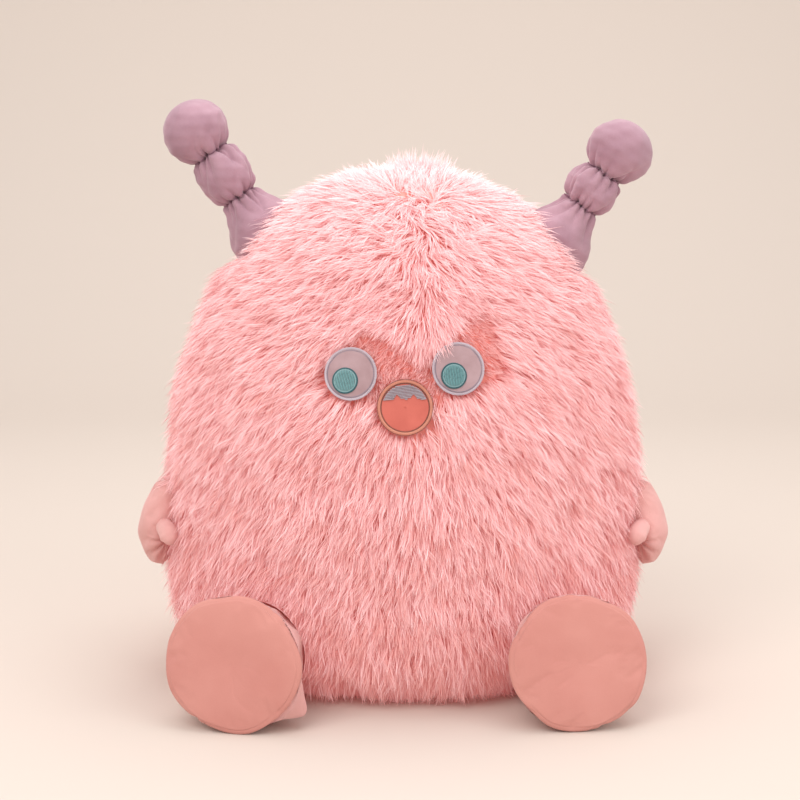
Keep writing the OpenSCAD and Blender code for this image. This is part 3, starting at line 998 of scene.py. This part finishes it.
def make_arms(cloth):
    """Each arm is a curved mitten with creases that run in under its thumb."""
    columns = 96
    angle = full_turn(columns)
    for side, k in SIDES.items():
        mirror = np.array([k, 1, 1])
        rows = 84
        t = np.linspace(0, 1, rows)
        line = smooth_line(t, [m[0] for m in MITTEN])
        wide, deep = smooth_line(t, [m[1:] for m in MITTEN]).T
        ends = np.sqrt(np.clip(np.minimum(t / 0.10, (1 - t) / 0.10), 0, 1))
        along = unit(np.gradient(line, axis=0))
        out = unit(np.cross(np.array([0, -1.0, 0]), along))
        front = np.cross(along, out)
        wide, deep = np.maximum(wide * ends, 0.0001), np.maximum(deep * ends, 0.0001)
        points = (line[:, None]
                  + (wide[:, None] * np.cos(angle))[..., None] * out[:, None]
                  + (deep[:, None] * np.sin(angle))[..., None] * front[:, None])
        middle = line[:, None]
        thumb = np.array(THUMB[0])
        points = points - thumb_creases(points, thumb)[..., None] * unit(points - middle)
        points += (0.0006 * wobble(points, 0.028, 91))[..., None] * unit(points - middle)
        mitten = grid_object(f"arm_{side}_mitten_cloth", points * mirror, outward=True)
        creased = np.flatnonzero(thumb_creases(points, thumb) > 0.0012)
        pinned = creased.tolist() + list(range(6 * columns))
        inflate(mitten, 1.2, 0.0012, pinned, grow=0.015)
        subdivide(mitten)
        dress(mitten, cloth, f"arm_{side}",
              [f"arm_{side}_cover", f"arm_{side}_stuffing"])
        lobe = thumb_lobe(f"arm_{side}_thumb_cloth", thumb, mirror)
        dress(lobe, cloth, f"arm_{side}", [f"arm_{side}_thumb"])


def smooth_line(t, knots):
    """A rounded line through knots given at even steps from 0 to 1; a row for each t."""
    knots = np.array(knots, float)
    at = np.linspace(0, 1, len(knots))
    slope = np.gradient(knots, at, axis=0)
    i = np.clip(np.searchsorted(at, t, side="right") - 1, 0, len(at) - 2)
    step = (at[i + 1] - at[i])[:, None]
    u = (t - at[i])[:, None] / step
    return ((1 + 2 * u) * (1 - u) ** 2 * knots[i] + u * (1 - u) ** 2 * slope[i] * step
            + u ** 2 * (3 - 2 * u) * knots[i + 1] + u ** 2 * (u - 1) * slope[i + 1] * step)


def thumb_creases(points, thumb):
    """Depth of the creases that fan out below the thumb over the front of the palm."""
    root = thumb + np.array([0.003, 0.012, -0.010])
    rel = points - root
    dist = np.linalg.norm(rel[..., [0, 2]], axis=-1)
    bearing = np.arctan2(rel[..., 0], -rel[..., 2])
    front = smooth_step(-0.030, -0.042, points[..., 1])
    total = 0.0030 * bump(dist, 0.006)
    for at, reach, deep in ((-0.10, 0.028, 0.0036), (0.35, 0.026, 0.0032), (0.90, 0.022, 0.0032),
                            (1.6, 0.018, 0.0024)):
        total += deep * bump(bearing - at, 0.15) * bump(dist, reach)
    return total * front


def thumb_lobe(name, thumb, mirror):
    """A small stuffed lobe that grows forward out of the palm and turns down at its end."""
    rows, columns = 46, 48
    # Place beside the thumb's own, and radius, from the palm to the end
    knots = [(0.0090, 0.030, 0.0030, 0.0070), (0.0055, 0.016, 0.0028, 0.0074),
             (0.0010, 0.003, 0.0012, 0.0083), (-0.0015, -0.0025, -0.0028, 0.0083),
             (-0.0030, -0.0028, -0.0088, 0.0078)]
    t = np.linspace(0, 1, rows)
    swept = smooth_line(t, knots)
    line = thumb + swept[:, :3]
    ends = np.sqrt(np.clip(np.minimum(t / 0.08, (1 - t) / 0.30), 0.0004, 1))
    radius = (swept[:, 3] * ends)[:, None, None]
    ring = rings_about(line, np.array([1.0, 0, 0]), columns)
    soft = 1 + 0.04 * wobble(ring * 0.01 + line[:, None], 0.014, 93)
    points = line[:, None] + radius * soft[..., None] * ring
    return grid_object(name, points * mirror, outward=True)


# ---- face


PATCH_THICK = 0.0009
UP = np.array([0, 0, 1.0])
STITCH_SIDES = 5        # sides of a thread's round section
STITCH_SKEW = 0.25      # slant of satin stitches


def patch_spot(x, z):
    """A patch's place and turn: it lies square to the face, as it is sewn on."""
    share = crown_share(z)
    y = front_y(x, z)
    step = 0.001
    above, below = (front_y(x, h) - float(dip_at(x, h)) for h in (z + step, z - step))
    pitch = math.atan((above - below) / (2 * step))
    yaw = math.atan2(x / (HALF_W * share) ** 2, -y / (HALF_D * share) ** 2)
    turn = np.array(Matrix.Rotation(yaw, 3, "Z")
                    @ Matrix.Rotation(math.pi / 2 - pitch, 3, "X"))
    return np.array([x, y, z]) + PATCH_LIFT * turn[:, 2], turn


def placed(points, spot):
    place, turn = spot
    return np.asarray(points, float) @ turn.T + place


def disc(name, spot, radius, dome):
    """A thin padded disc with a rounded edge and slightly rippled cloth."""
    inner = np.linspace(0.02, 0.96, 20)
    r = np.concatenate([inner, [0.99, 1.0, 1.0]])[:, None]
    z = np.concatenate([PATCH_THICK + dome * (1 - inner ** 2),
                        [PATCH_THICK - 0.0001, PATCH_THICK * 0.7, 0]])[:, None]
    a = full_turn(96)
    grid = np.stack(np.broadcast_arrays(radius * r * np.cos(a), radius * r * np.sin(a), z), -1)
    grid[..., 2] += 0.00012 * wobble(grid, 0.012, 95) * smooth_step(1.0, 0.9, r)
    return grid_object(name, placed(grid, spot))


def lay_thread(verts, faces, places, across, up, thread):
    """Adds one stitch: a tube of thread through places, whose ends are lost in the cloth."""
    a = full_turn(STITCH_SIDES)[:, None]
    section = np.cos(a) * across[:, None] + np.sin(a) * up[:, None]
    base = len(verts)
    verts.extend((places[:, None] + thread * section).reshape(-1, 3))
    faces += [tuple(base + v for v in f) for f in grid_faces(len(places), STITCH_SIDES)]


def stitched_ring(name, spot, middle, radius, thread, lift, count, width):
    """Satin stitch: thread laid side by side across the edge of a patch, each a small arch."""
    arch = np.linspace(0, math.pi, 7)
    across = -np.cos(arch) * width / 2
    rise = np.sin(arch) * width * 0.38 + lift
    rng = np.random.default_rng(int(radius * 1e6))
    verts, faces = [], []
    for k in range(count):
        a = 2 * math.pi * k / count + STITCH_SKEW * across / radius
        out = np.stack([np.cos(a), np.sin(a), 0 * a], 1)
        tangent = np.stack([-np.sin(a), np.cos(a), 0 * a], 1)
        normal = np.sin(arch)[:, None] * UP - np.cos(arch)[:, None] * out
        reach = radius - width / 2 + across * rng.uniform(0.94, 1.06)
        lay_thread(verts, faces, reach[:, None] * out + rise[:, None] * UP, tangent, normal, thread)
    return new_object(name, placed(np.array(verts) + np.array([*middle, 0]), spot), faces)


def fill_stitches(name, spot, inside, half, lift, pitch, thread, tilt):
    """Embroidered fill: rows of thread laid side by side over the places where inside is true."""
    verts, faces = [], []
    rng = np.random.default_rng(97)
    ca, sa = math.cos(tilt), math.sin(tilt)
    reach = half * 1.5
    line = np.linspace(-reach, reach, 161)
    for row in range(int(2 * reach / pitch)):
        v = -reach + (row + 0.5) * pitch
        xyz = np.stack([line * ca - v * sa, line * sa + v * ca, 0 * line], 1)
        edges = np.flatnonzero(np.diff([0, *(int(inside(x, y)) for x, y, _ in xyz), 0]))
        for start, stop in zip(edges[::2], edges[1::2] - 1):
            while start < stop:
                end = min(start + int(rng.integers(14, 22)), stop)
                part = xyz[start:end + 1]
                start = end
                if len(part) < 3:
                    continue
                arch = np.sin(np.pi * np.linspace(0, 1, len(part)))[:, None]
                places = part + (lift + thread * (0.35 + 0.75 * arch ** 0.4)) * UP
                lay_thread(verts, faces, places, np.array([[-sa, ca, 0]]), UP[None], thread)
    return new_object(name, placed(np.array(verts), spot), faces)


def add_rings(name, spot, mats, rows, middle=(0, 0)):
    """Rows of satin stitch on a patch.

    Each is (piece, material, node or None, radius, thread radius, lift, stitches, width).
    """
    for piece, material, node, radius, thread, lift, count, width in rows:
        ring = stitched_ring(f"{name}_{piece}", spot, middle, radius, thread, lift, count, width)
        dress(ring, mats[material], "body", [f"{name}_{node}"] if node else ())


GAZE = (-0.0041, -0.0057)       # where the pupils sit on the eyes
# The teeth's lower edge across the mouth patch, in millimetres
TEETH = [(-20, 5.4), (-9.5, 6.2), (-6.6, 10.2), (-3.6, 7.2), (0.4, 6.4), (4.2, 7.4), (6.8, 10.4),
         (9.8, 7.0), (20, 5.8)]


def make_eye(side, mats):
    spot = patch_spot(*EYE_PLACES[side])
    name = f"eye_{side}"
    white = disc(f"{name}_white_satin", spot, EYE_R - 0.0012, 0.0007)
    dress(white, mats["eye_satin"], "body", [f"{name}_white"])
    add_rings(name, spot, mats, [
        ("rim_stitches", "eye_thread", "rim", EYE_R, 0.00026, 0.0005, 260, 0.0016),
        ("rim_line", "eye_line", None, EYE_R - 0.0022, 0.0002, 0.0009, 240, 0.0006),
    ])

    def in_pupil(x, y):
        return math.hypot(x - GAZE[0], y - GAZE[1]) < PUPIL_R - 0.0020

    pupil = fill_stitches(f"{name}_pupil_stitches", spot, in_pupil, 0.016, 0.0017, 0.0013,
                          0.00062, tilt=1.45)
    dress(pupil, mats["pupil_thread"], "body", [f"{name}_pupil"])
    add_rings(name, spot, mats, [
        ("pupil_band", "pupil_band", None, PUPIL_R - 0.0010, 0.00022, 0.0016, 140, 0.0014),
    ], GAZE)
    add_rings(name, spot, mats, [
        ("pupil_rim_stitches", "pupil_rim_thread", "pupil_rim", PUPIL_R, 0.00022, 0.0017, 150,
         0.0011),
    ], GAZE)


def make_mouth(mats):
    spot = patch_spot(*MOUTH_PLACE)
    patch = disc("mouth_patch_cloth", spot, MOUTH_R - 0.0012, 0.0006)
    dress(patch, mats["mouth_cloth"], "body", ["mouth_patch"])
    add_rings("mouth", spot, mats, [
        ("rim_outer_stitches", "mouth_thread", "rim_outer", MOUTH_R - 0.0005, 0.00026, 0.0007,
         280, 0.0022),
        ("rim_line", "mouth_line", None, MOUTH_R + 0.0002, 0.0002, 0.0005, 270, 0.0008),
        ("rim_inner_stitches", "mouth_line", "rim_inner", MOUTH_R - 0.0027, 0.0002, 0.0011,
         250, 0.0008),
    ])
    edge = np.array(TEETH) * MM

    def in_teeth(x, y):
        return math.hypot(x, y) < MOUTH_R - 0.0040 and y > np.interp(x, *edge.T)

    teeth = fill_stitches("mouth_teeth_stitches", spot, in_teeth, 0.020, 0.0013, 0.0012,
                          0.00055, tilt=0.10)
    dress(teeth, mats["teeth_thread"], "body", ["mouth_teeth"])


# ---- base panel


def make_base(material):
    """The flat panel under the body: a thin pad, quilted by the weight that rests on it."""
    low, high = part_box("body_base_panel")
    a, b, thick = (high.x - low.x) / 2, (high.y - low.y) / 2, high.z
    rings, columns = 26, 128
    r = np.concatenate([[0.01], np.linspace(0.04, 0.985, rings)])
    angle = full_turn(columns)
    rr, aa = np.meshgrid(r, angle, indexing="ij")
    flat = np.stack([a * rr * np.cos(aa), b * rr * np.sin(aa), np.zeros_like(rr)], -1)
    dents = 0.0006 * (1 + wobble(flat, 0.05, 98)) * smooth_step(1.0, 0.93, rr)
    under = flat + np.stack([0 * rr, 0 * rr, dents + 0.0012 * smooth_step(0.94, 1.0, rr)], -1)
    side = [np.stack([a * s * np.cos(angle), b * s * np.sin(angle),
                      np.full(columns, z)], -1) for s, z in ((1.0, thick * 0.5), (0.985, thick))]
    over = flat[::-1].copy()
    over[..., 2] = thick - 0.0002
    grid = np.concatenate([under, np.array(side), over])
    pad = grid_object("body_base_panel_cloth", grid)
    dress(pad, material, "body", ["body_base_panel"])


# ---- making

make_camera()
make_studio()
make_floor()

# Root, middle and tip colours of the pile; the deeper root colour is painted shade of the pile's
# depths.
pile = pile_material("long_pile", (244, 177, 172), (248, 205, 205), (253, 225, 227))
# The backing cloth is real, but its deep coral is painted shade that stands for the shade in the
# gaps between the locks.
backing = fabric_material("backing", (244, 158, 148), (236, 138, 128), 900, 0.0004)
base_cloth = fabric_material("base_cloth", (246, 178, 172), (226, 140, 134), 1400, 0.0006)
velvet = fabric_material("velvet", (175, 138, 150), (146, 109, 122), 1800, 0.00015,
                         patch=30, sheen=0.35, sheen_tint=(0.95, 0.85, 0.92))
tie_thread = fabric_material("tie_thread", (140, 100, 116), (120, 84, 100), 2500, 0.0001)
limb_cloth = fabric_material("limb_cloth", (225, 171, 167), (203, 149, 143), 2200, 0.00010,
                             patch=24, sheen=0.3, sheen_tint=(1, 0.88, 0.86))
sole_cloth = fabric_material("sole_cloth", (206, 144, 134), (192, 126, 117), 2200, 0.00008,
                             patch=14, sheen=0.2, sheen_tint=(1, 0.9, 0.88))

face = {
    "eye_satin": fabric_material("eye_satin", (176, 147, 151), (157, 127, 130), 2600, 0.00006,
                                 patch=60, roughness=0.5, weave=True),
    "mouth_cloth": fabric_material("mouth_cloth", (204, 108, 95), (190, 96, 84), 2200, 0.0001,
                                   patch=60, roughness=0.75, weave=True),
}
for name, light, dark in (
    ("eye_thread", (206, 198, 208), (186, 174, 184)),
    ("eye_line", (150, 140, 154), (128, 118, 132)),
    ("pupil_thread", (126, 170, 172), (94, 138, 142)),
    ("pupil_band", (152, 184, 186), (128, 164, 168)),
    ("pupil_rim_thread", (56, 104, 110), (42, 86, 94)),
    ("mouth_thread", (215, 148, 126), (196, 124, 102)),
    ("mouth_line", (142, 80, 66), (118, 62, 50)),
    ("teeth_thread", (184, 174, 184), (128, 112, 118)),
):
    face[name] = fabric_material(name, light, dark, 1800, 0.00003, roughness=0.5)

make_legs(limb_cloth, sole_cloth)
make_arms(limb_cloth)
make_antennae(velvet, tie_thread)
for side in SIDES:
    make_eye(side, face)
make_mouth(face)
make_base(base_cloth)
make_pile(pile)
make_backing(backing)
